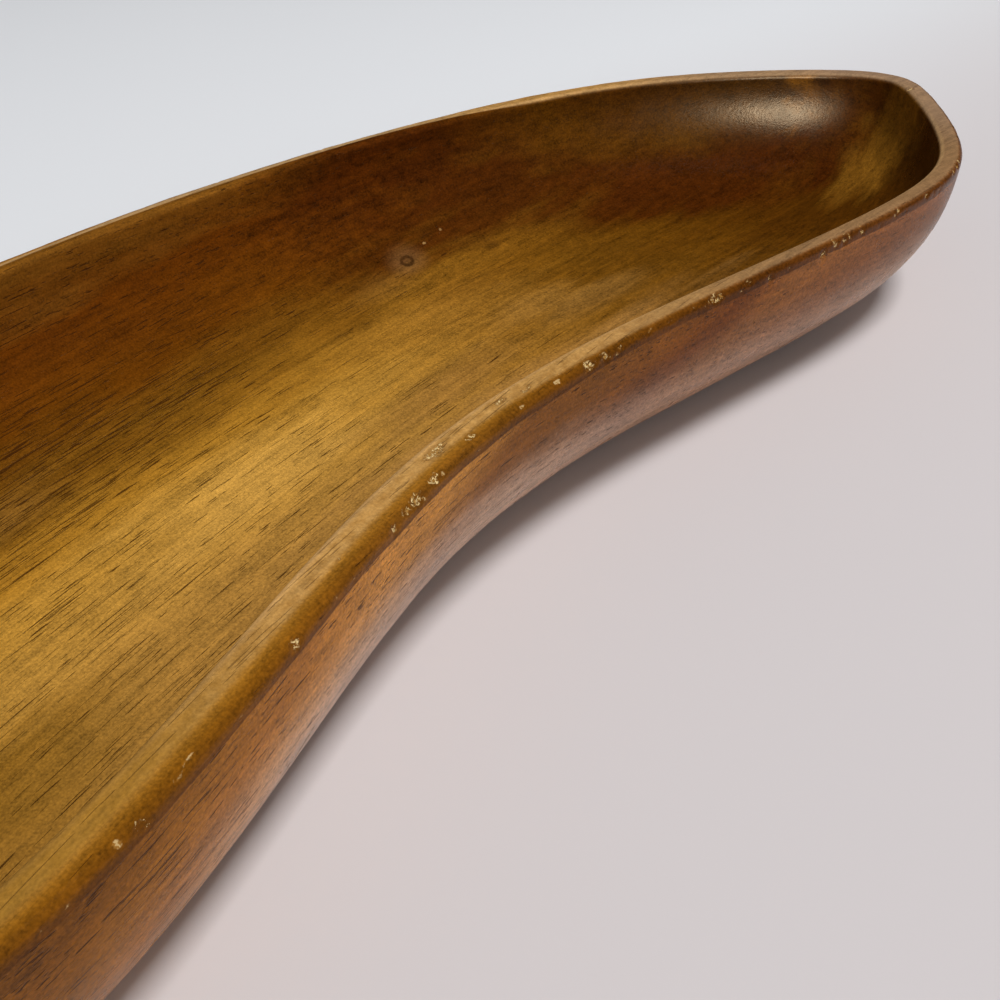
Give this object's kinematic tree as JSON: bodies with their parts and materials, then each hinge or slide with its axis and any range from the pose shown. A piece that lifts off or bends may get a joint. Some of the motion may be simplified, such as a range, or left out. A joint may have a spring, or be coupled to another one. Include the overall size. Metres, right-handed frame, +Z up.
{
  "type": "wooden fruit bowl",
  "caption": "Long low kidney-shaped wooden bowl with rounded walls, an even rim and a flat foot, for holding fruit on a table.",
  "frame": {"origin": "on the standing surface, under the middle of the box that the rim fills", "axes": "+Z up; +X along the length, towards the narrower end; +Y towards the convex far side, so the drawn-in waist faces -Y"},
  "size_m": [0.496, 0.198, 0.05],
  "materials": {
    "wood": "clear satin lacquer over open-pored brown wood, worn pale along the rim"
  },
  "bodies": {
    "root": {"bowl": "wood"}
  },
  "joints": []
}
